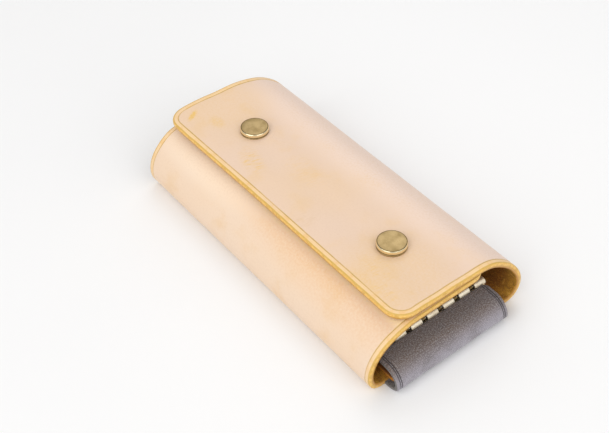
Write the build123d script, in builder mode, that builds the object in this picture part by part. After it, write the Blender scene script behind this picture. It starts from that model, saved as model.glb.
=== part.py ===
"""Snap-closed leather wrap case with a six-hook key rail.

Frame: +X runs along the case towards the end with the key rail, +Y towards the tall fold,
+Z up. The origin is the middle of the case's underside, on the surface it lies on. Millimetres.
"""

from build123d import *
from math import asin, atan, cos, degrees, radians, sin, tan
import os

os.makedirs("parts", exist_ok=True)

# --- Driving dimensions ---------------------------------------------------------------------

# One sheet of leather makes the back panel, both folds, the front panel and the flap
case_length = 122.0
half_width = 31.2
leather = 2.0
fold_gap = 0.2            # the sheet is parted by this much at each hinge line

# Front fold (low, at -Y) and the front panel that runs on from it under the flap
front_fold = (15.6, 14.2)  # width and height of its upper quarter
front_fold_base = 6.1
front_corner_width = 4.0
front_panel_end = 16.0
front_hinge_height = 10.2
front_corner_radius = 5.0

# Spine fold (tall, at +Y) and the flap that runs on from it over the top
spine_fold = (20.0, 17.45)
spine_fold_base = 7.5
spine_corner_width = 8.0
flap_edge_y = -19.8
flap_edge_height = 23.5
spine_hinge_height = 12.5
flap_corner_radius = 7.0

# Snap fasteners: cap through the flap into a socket, stud on the front panel with a back post
snap_x = 36.1
snap_y = -1.0
cap_radius = 5.0
cap_height = 2.1
cap_rim = 0.9             # rounding of the cap's rim
cap_dish_radius = 3.9
cap_dish = 0.25
post_radius = 1.4
post_hole_radius = 1.5
post_end = 0.2            # how far the cap's post stands out under the flap
socket_radius = 4.0
socket_height = 1.2
socket_bore = 2.0
stud_flange_radius = 3.2
stud_flange = 0.4
stud_ball_radius = 1.85
stud_neck_radius = 1.55
stud_ball_height = 1.1    # height of the ball's widest line
stud_height = 1.7
back_flange_radius = 4.2
back_flange = 0.6

# Key tongue: suede outside and a leather lining inside, folded in a U round the near end
tongue_y = -2.2
suede_width = 45.6
suede = 1.4
suede_skived = 1.0
lining_width = 43.0
lining = 1.4
nose_x = 61.2             # where the nose's curves end and the flat runs start
nose_z = 3.0              # height of its furthest point
nose_reach = 5.7
suede_top = 9.1
lining_nose_z = 4.55
lining_nose = (3.6, 2.55)
nose_gap_angle = 2.0
tongue_tail_x = 49.0
lining_tail_x = 44.0
suede_end_x = 56.5
lining_end_x = 52.6

# Key rail: a plate with one long edge rolled round a wire, slotted for the hooks
rail_width = 44.0
rail_y = -1.1             # its middle, a little nearer the spine than the tongue's
wire_x = 54.5
wire_z = 8.7
roll_radius = 1.6
rail_sheet = 0.6
roll_mouth_angle = 60.0
plate_end_x = 61.0
crimp_width = 1.2
wire_radius = 0.6
hook_count = 6
hook_pitch = 6.6
slot_width = 2.3
slot_reach = 1.7
fit = 0.05                # radial clearance of every turning fit

# Rivets through the rail and through the tongue's tail
rivet_radius = 0.8
rivet_head_radius = 1.5
rivet_head = 0.3
rail_rivet_x = 59.2
rail_rivet_spread = 26.4
tail_rivet_x = 52.0
tail_rivet_spread = 28.0
burr_radius = 1.5
burr = 0.4

# Key hooks
hook_slope = 7.5          # how far the hooks lie below level, in degrees
eye_radius = 0.95
base_width = 1.2
neck = 1.0
barrel_start = 4.6
barrel_end = 7.6
barrel_radius = 1.5
head_radius = 1.0
head_start = 5.4
head_end = 6.4
hook_wire = 0.65          # radius
hook_bend_start = 9.6
hook_bend_end = 11.2
hook_far_x = 27.95
hook_half_width = 2.05
hook_tip_x = 15.5
gate_x = 9.0
gate_y = -1.2
gate_length = 7.6
gate_width = 1.2
gate_thickness = 0.3
gate_barrel_radius = 0.45
gate_pin_radius = 0.2
cheek = 0.35              # thickness of the lugs that hold the gate's pin
lug_width = 1.0
hook_bend_radius = 0.9
hook_end_radius = 2.0

# --- Worked out from them -------------------------------------------------------------------

half_length = case_length / 2
front_centre = (front_fold[0] - half_width, front_fold_base)
spine_centre = (half_width - spine_fold[0], spine_fold_base)
front_top = front_centre[1] + front_fold[1]
flap_top = spine_centre[1] + spine_fold[1]
flap_slope = atan((flap_top - flap_edge_height) / (spine_centre[0] - flap_edge_y))
front_hinge_angle = 180 - degrees(asin((front_hinge_height - front_fold_base) / front_fold[1]))
spine_hinge_angle = degrees(asin((spine_hinge_height - spine_fold_base) / spine_fold[1]))
front_gap_angle = degrees(fold_gap / front_fold[1])
spine_gap_angle = degrees(fold_gap / spine_fold[1])
hook_row = [rail_y + (i - (hook_count - 1) / 2) * hook_pitch for i in range(hook_count)]
snaps = {"far": -snap_x, "near": snap_x}


def finish(part, name):
    """Label a finished piece and write it."""
    part.label = name
    export_step(part, f"parts/{name}.step")


def inner(radii, thickness):
    """Radii of a fold's inside, one thickness in from its outside."""
    return (radii[0] - thickness, radii[1] - thickness)


def fold_arc(centre, radii, start, end):
    """Elliptical arc of the open line, from one parameter angle to another."""
    return EllipticalCenterArc(centre, *radii, start_angle=start, arc_size=end - start)


# --- The leather sheet ----------------------------------------------------------------------

front_corner = (front_corner_width, front_fold_base)
front_corner_centre = (front_corner_width - half_width, front_fold_base)
spine_corner = (spine_corner_width, spine_fold_base)
spine_corner_centre = (half_width - spine_corner_width, spine_fold_base)

# Back panel: the part that lies on the table, with the lower half of each fold
with BuildPart() as back_panel:
    with BuildSketch(Plane.YZ):
        with BuildLine():
            spine_side = fold_arc(spine_centre, spine_fold, spine_hinge_angle, 0)
            spine_foot = fold_arc(spine_corner_centre, spine_corner, 0, -90)
            front_foot = fold_arc(front_corner_centre, front_corner, 270, 180)
            front_side = fold_arc(front_centre, front_fold, 180, front_hinge_angle)
            Line(spine_foot @ 1, front_foot @ 0)
            front_in = fold_arc(front_centre, inner(front_fold, leather), front_hinge_angle, 180)
            front_foot_in = fold_arc(front_corner_centre, inner(front_corner, leather), 180, 270)
            spine_foot_in = fold_arc(spine_corner_centre, inner(spine_corner, leather), -90, 0)
            spine_in = fold_arc(spine_centre, inner(spine_fold, leather), 0, spine_hinge_angle)
            Line(front_side @ 1, front_in @ 0)
            Line(front_foot_in @ 1, spine_foot_in @ 0)
            Line(spine_in @ 1, spine_side @ 0)
        make_face()
    extrude(amount=half_length, both=True)
    # shallow skived seat under the near end, for the suede's tail
    with BuildSketch(Plane.XY):
        with Locations(((tongue_tail_x + half_length) / 2, tongue_y)):
            Rectangle(half_length - tongue_tail_x, suede_width)
    extrude(amount=suede_skived, mode=Mode.SUBTRACT)
    with Locations((tail_rivet_x, tongue_y, 0)):
        with GridLocations(0, tail_rivet_spread, 1, 2):
            Hole(rivet_radius)
finish(back_panel.part, "back_panel")

# Flap: the upper half of the spine fold and the top, with rounded free corners
with BuildPart() as flap:
    with BuildSketch(Plane.YZ):
        with BuildLine():
            hinge_angle = spine_hinge_angle + spine_gap_angle
            outside = fold_arc(spine_centre, spine_fold, hinge_angle, 90)
            inside = fold_arc(spine_centre, inner(spine_fold, leather), 90, hinge_angle)
            edge = Line((flap_edge_y, flap_edge_height), (flap_edge_y, flap_edge_height - leather))
            Line(outside @ 1, edge @ 0)
            Line(edge @ 1, inside @ 0)
            Line(inside @ 1, outside @ 0)
        make_face()
    extrude(amount=half_length, both=True)
    with BuildSketch(Plane.XY):
        with Locations((0, flap_edge_y + half_width)):
            RectangleRounded(case_length, 2 * half_width, flap_corner_radius)
        with Locations((0, half_width)):
            Rectangle(case_length, 2 * half_width)
    extrude(amount=flap_top, mode=Mode.INTERSECT)
    with Locations((-snap_x, snap_y, 0), (snap_x, snap_y, 0)):
        Hole(post_hole_radius)
finish(flap.part, "flap")

# Front panel: the upper half of the front fold and the panel under the flap
with BuildPart() as front_panel:
    with BuildSketch(Plane.YZ):
        with BuildLine():
            hinge_angle = front_hinge_angle - front_gap_angle
            outside = fold_arc(front_centre, front_fold, hinge_angle, 90)
            inside = fold_arc(front_centre, inner(front_fold, leather), 90, hinge_angle)
            edge = Line((front_panel_end, front_top), (front_panel_end, front_top - leather))
            Line(outside @ 1, edge @ 0)
            Line(edge @ 1, inside @ 0)
            Line(inside @ 1, outside @ 0)
        make_face()
    extrude(amount=half_length, both=True)
    with BuildSketch(Plane.XY):
        with Locations((0, front_panel_end - half_width)):
            RectangleRounded(case_length, 2 * half_width, front_corner_radius)
        with Locations((0, -half_width)):
            Rectangle(case_length, 2 * half_width)
    extrude(amount=flap_top, mode=Mode.INTERSECT)
    with Locations((-snap_x, snap_y, 0), (snap_x, snap_y, 0)):
        Hole(post_hole_radius)
finish(front_panel.part, "front_panel")

# --- Snap fasteners -------------------------------------------------------------------------

snap_top = flap_top - (spine_centre[0] - snap_y) * tan(flap_slope)
flap_drop = leather / cos(flap_slope)
post_reach = flap_drop + post_end
socket_top = flap_drop + fit
socket_foot = socket_top + socket_height
front_inside = front_top - leather


def turning_plane(origin, lean):
    """Plane for a turned profile: radius to the right, height up the axis that leans by lean."""
    return Plane(origin, x_dir=(1, 0, 0), z_dir=(0, -cos(lean), -sin(lean)))


def turning_axis(origin, lean):
    """The axis that goes with turning_plane."""
    return Axis(origin, (0, -sin(lean), cos(lean)))


for side, x in snaps.items():
    on_flap = (x, snap_y, snap_top)
    on_front = (x, snap_y, front_top)

    # Cap: a flat disc with a rounded rim and a shallow dish, on a post through the flap
    with BuildPart() as snap_cap:
        with BuildSketch(turning_plane(on_flap, flap_slope)):
            with BuildLine():
                Polyline(
                    (0, -post_reach),
                    (post_radius, -post_reach),
                    (post_radius, 0),
                    (cap_radius, 0),
                    (cap_radius, cap_height),
                    (cap_dish_radius, cap_height),
                    (cap_dish_radius, cap_height - cap_dish),
                    (0, cap_height - cap_dish),
                    close=True,
                )
            make_face()
        revolve(axis=turning_axis(on_flap, flap_slope))
        rims = snap_cap.edges().filter_by(GeomType.CIRCLE).sort_by(SortBy.LENGTH)[-2:]
        fillet(rims, cap_rim)
    finish(snap_cap.part, f"snap_cap_{side}")

    # Socket: a ring under the flap, with a web round the cap's post and a bore for the stud
    with BuildPart() as snap_socket:
        with BuildSketch(turning_plane(on_flap, flap_slope)):
            with BuildLine():
                Polyline(
                    (post_hole_radius, -socket_top),
                    (socket_radius, -socket_top),
                    (socket_radius, -socket_foot),
                    (socket_bore, -socket_foot),
                    (socket_bore, -post_reach - fit),
                    (post_hole_radius, -post_reach - fit),
                    close=True,
                )
            make_face()
        revolve(axis=turning_axis(on_flap, flap_slope))
    finish(snap_socket.part, f"snap_socket_{side}")

    # Stud: a flange on the front panel with a ball-headed boss that the socket grips
    with BuildPart() as snap_stud:
        with BuildSketch(turning_plane(on_front, 0)):
            with BuildLine():
                Polyline(
                    (0, 0),
                    (stud_flange_radius, 0),
                    (stud_flange_radius, stud_flange),
                    (stud_neck_radius, stud_flange),
                    (stud_ball_radius, stud_ball_height),
                    (stud_neck_radius, stud_height),
                    (0, stud_height),
                    close=True,
                )
            make_face()
        revolve(axis=turning_axis(on_front, 0))
    finish(snap_stud.part, f"snap_stud_{side}")

    # Back post: a flange inside the front panel, with a post up through it to the stud
    with BuildPart() as snap_back:
        with BuildSketch(turning_plane(on_front, 0)):
            with BuildLine():
                Polyline(
                    (0, -leather - back_flange),
                    (back_flange_radius, -leather - back_flange),
                    (back_flange_radius, -leather),
                    (post_radius, -leather),
                    (post_radius, 0),
                    (0, 0),
                    close=True,
                )
            make_face()
        revolve(axis=turning_axis(on_front, 0))
    finish(snap_back.part, f"snap_back_{side}")

# --- Key tongue -----------------------------------------------------------------------------

tongue_plane = Plane.XZ.offset(-tongue_y)
rail_plane = Plane.XZ.offset(-rail_y)
nose = (nose_x, nose_z)
nose_under = (nose_reach, nose_z)
nose_over = (nose_reach, suede_top - nose_z)
lining_turn = (nose_x, lining_nose_z)
lining_nose_in = inner(lining_nose, lining)
lining_foot = lining_nose_z - lining_nose[1]
lining_top = lining_nose_z + lining_nose[1]

# Suede, lower half: skived tail let in flush under the back panel, then round to the nose
with BuildPart() as suede_lower:
    with BuildSketch(tongue_plane):
        with BuildLine():
            outside = fold_arc(nose, nose_under, -90, -nose_gap_angle)
            inside = fold_arc(nose, inner(nose_under, suede), -nose_gap_angle, -90)
            Line(outside @ 1, inside @ 0)
            Polyline(
                inside @ 1,
                (half_length + fit, suede),
                (half_length + fit, suede_skived),
                (tongue_tail_x, suede_skived),
                (tongue_tail_x, 0),
                outside @ 0,
            )
        make_face()
    extrude(amount=suede_width / 2, both=True)
    with Locations((tail_rivet_x, tongue_y, 0)):
        with GridLocations(0, tail_rivet_spread, 1, 2):
            Hole(rivet_head_radius)
finish(suede_lower.part, "suede_lower")

# Suede, upper half: from the nose back over the rail's plate to the roll
with BuildPart() as suede_upper:
    with BuildSketch(tongue_plane):
        with BuildLine():
            outside = fold_arc(nose, nose_over, nose_gap_angle, 90)
            inside = fold_arc(nose, inner(nose_over, suede), 90, nose_gap_angle)
            Line(inside @ 1, outside @ 0)
            Polyline(
                outside @ 1,
                (suede_end_x, suede_top),
                (suede_end_x, suede_top - suede),
                inside @ 0,
            )
        make_face()
    extrude(amount=suede_width / 2, both=True)
finish(suede_upper.part, "suede_upper")

# Lining, lower half: lies on the back panel and turns up inside the suede
with BuildPart() as lining_lower:
    with BuildSketch(tongue_plane):
        with BuildLine():
            outside = fold_arc(lining_turn, lining_nose, -90, -nose_gap_angle)
            inside = fold_arc(lining_turn, lining_nose_in, -nose_gap_angle, -90)
            Line(outside @ 1, inside @ 0)
            Polyline(
                inside @ 1,
                (lining_tail_x, lining_foot + lining),
                (lining_tail_x, lining_foot),
                outside @ 0,
            )
        make_face()
    extrude(amount=lining_width / 2, both=True)
    with Locations((tail_rivet_x, tongue_y, 0)):
        with GridLocations(0, tail_rivet_spread, 1, 2):
            Hole(rivet_radius)
finish(lining_lower.part, "lining_lower")

# Lining, upper half: backs the rail's plate
with BuildPart() as lining_upper:
    with BuildSketch(tongue_plane):
        with BuildLine():
            outside = fold_arc(lining_turn, lining_nose, nose_gap_angle, 90)
            inside = fold_arc(lining_turn, lining_nose_in, 90, nose_gap_angle)
            Line(inside @ 1, outside @ 0)
            Polyline(
                outside @ 1,
                (lining_end_x, lining_top),
                (lining_end_x, lining_top - lining),
                inside @ 0,
            )
        make_face()
    extrude(amount=lining_width / 2, both=True)
    with Locations((rail_rivet_x, rail_y, 0)):
        with GridLocations(0, rail_rivet_spread, 1, 2):
            Hole(rivet_radius)
finish(lining_upper.part, "lining_upper")

# Tail rivets: flush under the suede's tail, peened on the lining
with BuildPart() as tail_rivets:
    with Locations((tail_rivet_x, tongue_y, 0)):
        with GridLocations(0, tail_rivet_spread, 1, 2):
            Cylinder(rivet_head_radius, suede_skived, align=(Align.CENTER, Align.CENTER, Align.MIN))
            Cylinder(
                rivet_radius,
                lining_foot + lining + burr + rivet_head,
                align=(Align.CENTER, Align.CENTER, Align.MIN),
            )
finish(tail_rivets.part, "tail_rivets")

# Tail burrs: washers on the lining, under the rivets' peened ends
with BuildPart() as tail_burrs:
    with BuildSketch(Plane.XY.offset(lining_foot + lining)):
        with Locations((tail_rivet_x, tongue_y)):
            with GridLocations(0, tail_rivet_spread, 1, 2):
                Circle(burr_radius)
                Circle(rivet_radius, mode=Mode.SUBTRACT)
    extrude(amount=burr)
finish(tail_burrs.part, "tail_burrs")

# --- Key rail -------------------------------------------------------------------------------

# Plate with one edge rolled up; the roll is slotted for the hooks and its ends are crimped
with BuildPart() as key_rail:
    with BuildSketch(rail_plane):
        with Locations((wire_x, wire_z)):
            Circle(roll_radius)
            Circle(roll_radius - rail_sheet, mode=Mode.SUBTRACT)
            with BuildLine(mode=Mode.PRIVATE) as mouth:
                Polyline(
                    (wire_x, wire_z),
                    (wire_x + 2 * roll_radius, wire_z),
                    (
                        wire_x + 2 * roll_radius,
                        wire_z - 2 * roll_radius * tan(radians(roll_mouth_angle)),
                    ),
                    close=True,
                )
        make_face(mouth.edges(), mode=Mode.SUBTRACT)
        with Locations(((wire_x + plate_end_x) / 2, wire_z - roll_radius + rail_sheet / 2)):
            Rectangle(plate_end_x - wire_x, rail_sheet)
    extrude(amount=rail_width / 2, both=True)
    for end in (-1, 1):
        with BuildSketch(Plane.XZ.offset(-(rail_y + end * rail_width / 2))):
            with Locations((wire_x, wire_z)):
                Circle(roll_radius - rail_sheet / 2)
                Circle(wire_radius + fit, mode=Mode.SUBTRACT)
        extrude(amount=end * crimp_width)
    with BuildSketch(Plane.XY.offset(wire_z - roll_radius + rail_sheet)):
        with Locations((wire_x + (slot_reach - 2 * roll_radius) / 2, rail_y)):
            with GridLocations(0, hook_pitch, 1, hook_count):
                Rectangle(slot_reach + 2 * roll_radius, slot_width)
    extrude(amount=2 * roll_radius, mode=Mode.SUBTRACT)
    with Locations((rail_rivet_x, rail_y, lining_top + rail_sheet)):
        with GridLocations(0, rail_rivet_spread, 1, 2):
            CounterBoreHole(rivet_radius, rivet_head_radius, rivet_head)
finish(key_rail.part, "key_rail")

# Wire that the hooks turn on, held by the crimped ends
with BuildPart() as rail_wire:
    with BuildSketch(rail_plane):
        with Locations((wire_x, wire_z)):
            Circle(wire_radius)
    extrude(amount=rail_width / 2, both=True)
finish(rail_wire.part, "rail_wire")

# Rail rivets: heads flush in the plate, under the suede; burrs inside the tongue's fold
with BuildPart() as rail_rivets:
    with Locations((rail_rivet_x, rail_y, lining_top + rail_sheet)):
        with GridLocations(0, rail_rivet_spread, 1, 2):
            Cylinder(rivet_head_radius, rivet_head, align=(Align.CENTER, Align.CENTER, Align.MAX))
            Cylinder(
                rivet_radius,
                rail_sheet + lining + burr + rivet_head,
                align=(Align.CENTER, Align.CENTER, Align.MAX),
            )
finish(rail_rivets.part, "rail_rivets")

with BuildPart() as rail_burrs:
    with BuildSketch(Plane.XY.offset(lining_top - lining)):
        with Locations((rail_rivet_x, rail_y)):
            with GridLocations(0, rail_rivet_spread, 1, 2):
                Circle(burr_radius)
                Circle(rivet_radius, mode=Mode.SUBTRACT)
    extrude(amount=-burr)
finish(rail_burrs.part, "rail_burrs")

# --- Key hooks ------------------------------------------------------------------------------

slope = radians(hook_slope)


def hook_plane(y):
    """A hook's own plane: x along the hook from the wire, y across it, z up through it."""
    along = (-cos(slope), 0, -sin(slope))
    up = (-sin(slope), 0, cos(slope))
    return Plane((wire_x, y, wire_z), x_dir=along, z_dir=up)


for number, y in enumerate(hook_row, start=1):
    flat = hook_plane(y)
    across = Plane(flat.origin, x_dir=flat.x_dir, z_dir=-flat.y_dir)
    end_on = Plane(flat.origin, x_dir=flat.y_dir, z_dir=flat.x_dir)

    # Base: an eye round the wire, a neck through the slot, and a barrel that holds the hook
    with BuildPart() as hook_base:
        with BuildSketch(across):
            Circle(eye_radius)
            with Locations((barrel_start / 2, 0)):
                Rectangle(barrel_start, neck)
            Circle(wire_radius + fit, mode=Mode.SUBTRACT)
        extrude(amount=base_width / 2, both=True)
        with BuildSketch(end_on.offset(barrel_start)):
            Circle(barrel_radius)
        extrude(amount=barrel_end - barrel_start)
        with BuildSketch(end_on.offset(head_start - fit)):
            Circle(head_radius + fit)
        extrude(amount=head_end - head_start + 2 * fit, mode=Mode.SUBTRACT)
        with BuildSketch(end_on.offset(head_end)):
            Circle(hook_wire + fit)
        extrude(amount=barrel_end, mode=Mode.SUBTRACT)
    finish(hook_base.part, f"hook_base_{number}")

    # Hook: a headed stem with lugs for the gate's pin, then one wire bent out, along, round
    # and back to an open mouth
    with BuildPart() as hook:
        with BuildLine(flat):
            route = FilletPolyline(
                (head_end - fit, 0),
                (hook_bend_start, 0),
                (hook_bend_end, hook_half_width),
                (hook_far_x, hook_half_width),
                (hook_far_x, -hook_half_width),
                (hook_tip_x, -hook_half_width),
                radius=[hook_bend_radius, hook_bend_radius, hook_end_radius, hook_end_radius],
            )
        with BuildSketch(end_on.offset(head_end - fit)):
            Circle(hook_wire)
        sweep(path=route)
        with BuildSketch(end_on.offset(head_start)):
            Circle(head_radius)
        extrude(amount=head_end - head_start)
        with BuildSketch(flat):
            with Locations((gate_x, 0)):
                Rectangle(2 * gate_barrel_radius, lug_width)
        extrude(amount=gate_width / 2 + fit + cheek, both=True)
        for foot in (gate_width / 2 + fit, -gate_width / 2 - fit - cheek):
            with BuildSketch(flat.offset(foot)):
                with Locations((gate_x, gate_y / 2)):
                    Rectangle(2 * gate_barrel_radius, -gate_y)
                with Locations((gate_x, gate_y)):
                    Circle(gate_barrel_radius)
            extrude(amount=cheek)
        with BuildSketch(flat):
            with Locations((gate_x, gate_y)):
                Circle(gate_pin_radius)
        extrude(amount=gate_width / 2 + 2 * fit, both=True)
    finish(hook.part, f"hook_{number}")

    # Gate: a thin sprung strip on a barrel, closing the hook's mouth from inside
    with BuildPart() as hook_gate:
        with BuildSketch(flat):
            with Locations((gate_x, gate_y)):
                Circle(gate_barrel_radius)
            with Locations((gate_x + gate_length / 2, gate_y)):
                Rectangle(gate_length, gate_thickness)
            with Locations((gate_x, gate_y)):
                Circle(gate_pin_radius + fit, mode=Mode.SUBTRACT)
        extrude(amount=gate_width / 2, both=True)
    finish(hook_gate.part, f"hook_gate_{number}")
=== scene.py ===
"""A snap-closed leather wrap case for keys, closed and lying on a pale table. Metres."""

from math import atan2, ceil, cos, exp, hypot, pi, radians, sin

import bmesh
import bpy
import numpy as np
from mathutils import Matrix, Vector, noise


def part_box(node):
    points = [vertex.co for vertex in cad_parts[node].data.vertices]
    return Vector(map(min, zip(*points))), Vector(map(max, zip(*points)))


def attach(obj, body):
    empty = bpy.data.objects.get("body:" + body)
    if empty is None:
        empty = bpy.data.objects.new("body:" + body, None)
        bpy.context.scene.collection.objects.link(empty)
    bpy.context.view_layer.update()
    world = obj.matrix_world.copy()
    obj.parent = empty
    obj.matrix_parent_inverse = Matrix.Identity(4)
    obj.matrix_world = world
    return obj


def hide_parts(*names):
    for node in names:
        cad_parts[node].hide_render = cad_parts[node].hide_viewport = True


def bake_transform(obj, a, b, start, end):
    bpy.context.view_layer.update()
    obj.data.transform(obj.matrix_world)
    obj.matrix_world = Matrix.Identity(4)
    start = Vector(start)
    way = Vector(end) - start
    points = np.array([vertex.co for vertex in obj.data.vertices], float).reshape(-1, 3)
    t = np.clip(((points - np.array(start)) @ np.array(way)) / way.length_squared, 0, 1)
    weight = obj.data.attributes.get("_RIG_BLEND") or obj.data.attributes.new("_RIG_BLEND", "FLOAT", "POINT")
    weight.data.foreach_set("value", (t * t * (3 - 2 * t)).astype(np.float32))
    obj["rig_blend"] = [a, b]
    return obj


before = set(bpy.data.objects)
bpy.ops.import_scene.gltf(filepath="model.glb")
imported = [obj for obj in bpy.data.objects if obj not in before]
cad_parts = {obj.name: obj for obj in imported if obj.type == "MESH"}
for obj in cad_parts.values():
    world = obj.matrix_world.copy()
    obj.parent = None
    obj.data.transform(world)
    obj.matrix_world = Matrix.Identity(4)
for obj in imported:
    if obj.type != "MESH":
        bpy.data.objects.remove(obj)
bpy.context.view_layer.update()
mm = 0.001

# --- Table, lamps and camera ----------------------------------------------------------------
# A wide white laminate table, slightly glossy, in a white room. A soft lamp hangs over the
# low side of the case, and weaker ones behind it and off its key end. The camera looks down
# on the corner between the key end and the low side.


def new_material(name, **constants):
    """A material, its node tree and its shader, with constants on the shader's own sockets."""
    made = bpy.data.materials.new(name)
    made.use_nodes = True
    shader = made.node_tree.nodes["Principled BSDF"]
    for socket, value in constants.items():
        shader.inputs[socket.replace("_", " ")].default_value = value
    return made, made.node_tree, shader


def put(tree, kind, inputs, **settings):
    """Adds one node with its inputs set or linked, and returns its first output."""
    made = tree.nodes.new("ShaderNode" + kind)
    for setting, value in settings.items():
        setattr(made, setting, value)
    for key, value in inputs.items():
        if isinstance(value, bpy.types.NodeSocket):
            tree.links.new(value, made.inputs[key])
        else:
            made.inputs[key].default_value = value
    return made.outputs[0]


def speckle(tree, places, per_unit, detail=3.0, rough=0.55):
    """Soft random variation round 0.5."""
    inputs = {"Vector": places, "Scale": per_unit, "Detail": detail, "Roughness": rough}
    return put(tree, "TexNoise", inputs)


def own_places(tree):
    """Places in the piece's own space, in metres."""
    put(tree, "TexCoord", {})
    return tree.nodes[-1].outputs["Object"]


def ramp(tree, value, low, high, start=0.0, end=1.0):
    """Runs smoothly from start at low to end at high."""
    inputs = {"Value": value, "From Min": low, "From Max": high, "To Min": start, "To Max": end}
    return put(tree, "MapRange", inputs, interpolation_type="SMOOTHSTEP")


def lay(tree, share, under, over):
    """Lays one colour over another by a share from 0 to 1."""
    made = tree.nodes.new("ShaderNodeMix")
    made.data_type = "RGBA"
    for slot, value in ((0, share), (6, under), (7, over)):
        if isinstance(value, bpy.types.NodeSocket):
            tree.links.new(value, made.inputs[slot])
        else:
            made.inputs[slot].default_value = value if slot == 0 else (*value, 1.0)
    return made.outputs[2]


def new_object(name, vertices, faces):
    """A mesh object with outward normals and smooth shading across its gentle edges."""
    mesh = bpy.data.meshes.new(name)
    mesh.from_pydata([tuple(v) for v in vertices], [], faces)
    work = bmesh.new()
    work.from_mesh(mesh)
    bmesh.ops.recalc_face_normals(work, faces=work.faces)
    work.to_mesh(mesh)
    work.free()
    mesh.shade_smooth()
    mesh.set_sharp_from_angle(angle=radians(50))
    made = bpy.data.objects.new(name, mesh)
    bpy.context.scene.collection.objects.link(made)
    return made


table_size = 4.0
table_drop = 0.05 * mm
laminate = (0.884, 0.884, 0.889)
laminate_hazed = (0.902, 0.902, 0.902)

white, tree, shader = new_material("white_laminate", Specular_IOR_Level=0.35)
haze = speckle(tree, own_places(tree), 14.0)
tone = lay(tree, haze, laminate, laminate_hazed)
tree.links.new(tone, shader.inputs["Base Color"])
tree.links.new(ramp(tree, haze, 0.3, 0.7, 0.28, 0.36), shader.inputs["Roughness"])

reach = table_size / 2
corners = [(-reach, -reach, -table_drop), (reach, -reach, -table_drop)]
corners += [(reach, reach, -table_drop), (-reach, reach, -table_drop)]
table = new_object("table", corners, [(0, 1, 2, 3)])
table.data.materials.append(white)

room_light = 0.60
room = bpy.data.worlds.new("white_room")
bpy.context.scene.world = room
room.use_nodes = True
room.node_tree.nodes["Background"].inputs["Color"].default_value = (1.0, 1.0, 1.0, 1.0)
room.node_tree.nodes["Background"].inputs["Strength"].default_value = room_light
bpy.context.scene.view_settings.view_transform = "Standard"


def hang_lamp(name, azimuth, elevation, distance, size, power, colour):
    """A square soft lamp that points at the case, from degrees clockwise off +Y and upwards,
    with its distance and size in metres and its power in watts."""
    data = bpy.data.lights.new(name, "AREA")
    data.size = size
    data.energy = power
    data.color = colour
    lamp = bpy.data.objects.new(name, data)
    bpy.context.scene.collection.objects.link(lamp)
    level = cos(radians(elevation))
    away = Vector((sin(radians(azimuth)) * level, cos(radians(azimuth)) * level,
                   sin(radians(elevation))))
    lamp.location = away * distance
    lamp.rotation_mode = "QUATERNION"
    lamp.rotation_quaternion = away.to_track_quat("Z", "Y")


hang_lamp("lamp_behind", 322, 46, 1.5, 1.0, 2.9, (1.0, 0.985, 0.97))
hang_lamp("lamp_front", 170, 42, 1.5, 1.5, 11.4, (1.0, 0.99, 0.975))
hang_lamp("lamp_end", 85, 40, 1.5, 1.35, 6.1, (1.0, 1.0, 1.0))

lens_length = 64.92
sensor = 36.0
camera_spot = Vector((212.70, -157.40, 267.94)) * mm
azimuth, elevation, roll = radians(54.86), radians(44.30), radians(-3.6)
forward = Vector((-sin(azimuth) * cos(elevation), cos(azimuth) * cos(elevation), -sin(elevation)))
level_right = Vector((cos(azimuth), sin(azimuth), 0.0))
level_up = level_right.cross(forward)
right = cos(roll) * level_right + sin(roll) * level_up
up = cos(roll) * level_up - sin(roll) * level_right
camera_data = bpy.data.cameras.new("camera")
camera_data.lens = lens_length
camera_data.sensor_width = sensor
camera = bpy.data.objects.new("camera", camera_data)
bpy.context.scene.collection.objects.link(camera)
turned_to = Matrix((right, up, -forward)).transposed().to_4x4()
camera.matrix_world = Matrix.Translation(camera_spot) @ turned_to
bpy.context.scene.camera = camera

# --- Leather sheet, spine side: back panel, tall fold and flap --------------------------------
# One piece of natural vegetable-tanned leather, 2 mm thick. Its edges are bevelled, dyed
# mustard and burnished, and a heated creaser has run a line 2 mm in from them.

leather = 2.0 * mm
half_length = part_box("back_panel")[1].x
half_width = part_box("back_panel")[1].y
flap_low, flap_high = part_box("flap")
flap_corner = 7.0 * mm
flap_edge = 23.5 * mm
edge_rounding = 0.38 * mm
crease_inset = 2.0 * mm
crease_depth = 0.16 * mm
crease_spread = 0.14 * mm
grain_cloud, grain_fibre, grain_pore = (0.80, 0.56, 0.33), (0.66, 0.45, 0.30), (0.60, 0.40, 0.24)
band_pale, band_blot = (0.88, 0.615, 0.325), (0.86, 0.515, 0.17)
crease_brown = (0.56, 0.375, 0.115)
dye_border = (0.66, 0.41, 0.085)
dye_bright, dye_deep, dye_fleck = (0.93, 0.60, 0.17), (0.86, 0.49, 0.10), (0.56, 0.31, 0.06)
dye_lower, dye_line, dye_foot = (0.60, 0.335, 0.085), (0.60, 0.30, 0.035), (0.43, 0.17, 0.025)
flesh_light, flesh_dark, flesh_cloud = (0.35, 0.125, 0.008), (0.18, 0.062, 0.004), (0.20, 0.075, 0.012)
flesh_stained, flesh_gold, flesh_pit = (0.62, 0.33, 0.03), (0.80, 0.45, 0.08), (0.19, 0.07, 0.01)
hair_gold, hair_dark = (0.74, 0.40, 0.07), (0.12, 0.05, 0.01)
spine_fold = (20.0 * mm, 17.45 * mm)
spine_base = flap_high.z - spine_fold[1]
spine_corner = (8.0 * mm, spine_base)
bend_easing = 5.0 * mm
snap_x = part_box("snap_cap_near")[0].x / 2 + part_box("snap_cap_near")[1].x / 2
snap_y = -1.0 * mm


def fold_curve(centre, radii, start, end, points=60):
    """Points along part of an ellipse, angles in degrees."""
    turns = [radians(start + (end - start) * i / points) for i in range(points + 1)]
    return [(centre[0] + radii[0] * cos(a), centre[1] + radii[1] * sin(a)) for a in turns]


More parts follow.
